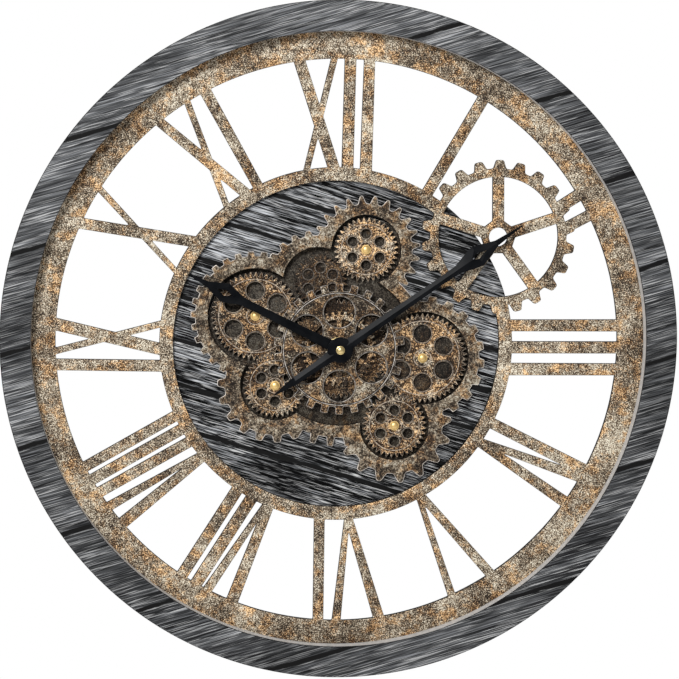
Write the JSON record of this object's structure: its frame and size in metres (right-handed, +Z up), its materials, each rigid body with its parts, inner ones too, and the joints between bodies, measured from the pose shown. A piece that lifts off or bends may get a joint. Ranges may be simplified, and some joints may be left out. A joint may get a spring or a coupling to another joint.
{
  "type": "skeleton wall clock with moving gears",
  "caption": "Round openwork wall clock with cut-out Roman numerals, a plank-patterned rim, a turning gear train in the middle and lance-shaped hands.",
  "frame": {"origin": "on the hands' axis, in the plane of the wall, at the flat back of the rear housing", "axes": "+Z up towards twelve o'clock, +Y into the wall, -Y towards the viewer, +X towards three o'clock"},
  "size_m": [0.6, 0.0633, 0.6],
  "materials": {
    "charcoal_wood": "distressed charcoal plank print with light grey streaks",
    "light_core": "pale grey painted edge",
    "bronze_print": "speckled antique gold and bronze, dark cut edges",
    "aged_bronze_print": "speckled grey-brown aged bronze, pale worn edges",
    "aged_bronze_gear": "speckled aged bronze",
    "gold_bronze_gear": "speckled antique gold",
    "brass": "polished",
    "black_hands": "satin black lacquer",
    "black_plastic": "fine matt texture",
    "white_nylon": "moulded",
    "steel": "zinc plated",
    "battery_jacket": "plain jacket"
  },
  "bodies": {
    "case": {"rim_face": "charcoal_wood", "rim_core": "light_core", "numeral_frame": "bronze_print", "gear_plate": "aged_bronze_print", "backboard": "charcoal_wood", "housing_tub": "black_plastic", "housing_screw_1": "steel", "housing_screw_2": "steel", "housing_screw_3": "steel", "module_screw_1": "steel", "module_screw_2": "steel", "module_screw_3": "steel", "module_base": "aged_bronze_print", "hanger_plate": "steel", "movement_case": "black_plastic", "movement_cover": "black_plastic", "threaded_nose": "brass", "intermediate_arbor": "steel", "time_battery": "battery_jacket", "motor_can": "steel", "motor_gearbox": "black_plastic", "gear_battery_tray": "black_plastic", "gear_battery_1": "battery_jacket", "gear_battery_2": "battery_jacket", "switch_body": "black_plastic", "left_pin": "brass", "lower_left_pin": "brass", "right_pin": "brass", "lower_right_pin": "brass", "upper_left_pin": "brass", "upper_right_pin": "brass"},
    "minute_work": {"minute_hand": "black_hands", "minute_arbor": "brass", "minute_pinion": "brass", "cap_nut": "brass"},
    "hour_work": {"hour_hand": "black_hands", "hour_pipe": "brass", "hour_wheel": "white_nylon"},
    "intermediate_work": {"intermediate_wheel": "white_nylon", "intermediate_pinion": "white_nylon"},
    "setting_work": {"set_wheel": "white_nylon", "set_knob": "black_plastic"},
    "centre_gears": {"centre_gear": "aged_bronze_gear", "centre_sleeve": "brass", "second_wheel": "gold_bronze_gear", "sun_gear": "aged_bronze_gear"},
    "left_satellite": {"left_gear": "gold_bronze_gear"},
    "lower_left_satellite": {"lower_left_gear": "gold_bronze_gear"},
    "right_satellite": {"right_gear": "gold_bronze_gear", "right_pinion": "gold_bronze_gear"},
    "lower_right_satellite": {"lower_right_gear": "gold_bronze_gear"},
    "upper_left_satellite": {"upper_left_gear": "gold_bronze_gear", "upper_left_pinion": "gold_bronze_gear"},
    "upper_right_satellite": {"upper_right_gear": "gold_bronze_gear"},
    "motor_drive": {"motor_pinion": "brass", "motor_shaft": "steel"},
    "time_battery_hatch": {"time_battery_cover": "black_plastic"},
    "gear_battery_hatch": {"gear_battery_cover": "black_plastic"},
    "gear_switch": {"switch_slider": "white_nylon"}
  },
  "joints": [
    {"name": "minute_spin", "type": "hinge", "parent": "case", "child": "minute_work", "pos_m": [0, -0.04, 0], "axis": [0, 1, 0], "continuous": true},
    {"name": "hour_spin", "type": "hinge", "parent": "case", "child": "hour_work", "pos_m": [0, -0.04, 0], "axis": [0, 1, 0], "continuous": true},
    {"name": "intermediate_spin", "type": "hinge", "parent": "case", "child": "intermediate_work", "pos_m": [0.01039, -0.011, 0.006], "axis": [0, 1, 0], "continuous": true},
    {"name": "setting_spin", "type": "hinge", "parent": "case", "child": "setting_work", "pos_m": [0.01501, -0.009, 0.01869], "axis": [0, 1, 0], "continuous": true},
    {"name": "centre_spin", "type": "hinge", "parent": "case", "child": "centre_gears", "pos_m": [0, -0.04, 0], "axis": [0, 1, 0], "continuous": true},
    {"name": "left_spin", "type": "hinge", "parent": "case", "child": "left_satellite", "pos_m": [-0.07462, -0.04, 0.02954], "axis": [0, 1, 0], "continuous": true},
    {"name": "lower_left_spin", "type": "hinge", "parent": "case", "child": "lower_left_satellite", "pos_m": [-0.05705, -0.04, -0.03252], "axis": [0, 1, 0], "continuous": true},
    {"name": "right_spin", "type": "hinge", "parent": "case", "child": "right_satellite", "pos_m": [0.0745, -0.04, -0.00862], "axis": [0, 1, 0], "continuous": true},
    {"name": "lower_right_spin", "type": "hinge", "parent": "case", "child": "lower_right_satellite", "pos_m": [0.04943, -0.04, -0.06886], "axis": [0, 1, 0], "continuous": true},
    {"name": "upper_left_spin", "type": "hinge", "parent": "case", "child": "upper_left_satellite", "pos_m": [-0.01664, -0.04, 0.05999], "axis": [0, 1, 0], "continuous": true},
    {"name": "upper_right_spin", "type": "hinge", "parent": "case", "child": "upper_right_satellite", "pos_m": [0.02396, -0.04, 0.08831], "axis": [0, 1, 0], "continuous": true},
    {"name": "motor_spin", "type": "hinge", "parent": "case", "child": "motor_drive", "pos_m": [-0.00361, -0.037, -0.05162], "axis": [0, 1, 0], "continuous": true},
    {"name": "time_hatch_pull", "type": "slide", "parent": "case", "child": "time_battery_hatch", "axis": [0, 1, 0], "range_m": [0, 0.02]},
    {"name": "gear_hatch_pull", "type": "slide", "parent": "case", "child": "gear_battery_hatch", "axis": [0, 1, 0], "range_m": [0, 0.02]},
    {"name": "gear_switch_slide", "type": "slide", "parent": "case", "child": "gear_switch", "axis": [-1, 0, 0], "range_m": [0, 0.005]}
  ],
  "couplings": [
    {"joint": "hour_spin", "follows": "minute_spin", "ratio": 0.083333},
    {"joint": "intermediate_spin", "follows": "minute_spin", "ratio": -0.33333},
    {"joint": "setting_spin", "follows": "minute_spin", "ratio": 0.66667},
    {"joint": "left_spin", "follows": "centre_spin", "ratio": -1.14},
    {"joint": "lower_left_spin", "follows": "centre_spin", "ratio": 1.5833},
    {"joint": "right_spin", "follows": "centre_spin", "ratio": -1.3256},
    {"joint": "lower_right_spin", "follows": "centre_spin", "ratio": 1.8779},
    {"joint": "upper_left_spin", "follows": "centre_spin", "ratio": -2.1923},
    {"joint": "upper_right_spin", "follows": "centre_spin", "ratio": 1.8269},
    {"joint": "motor_spin", "follows": "centre_spin", "ratio": -4.75}
  ]
}
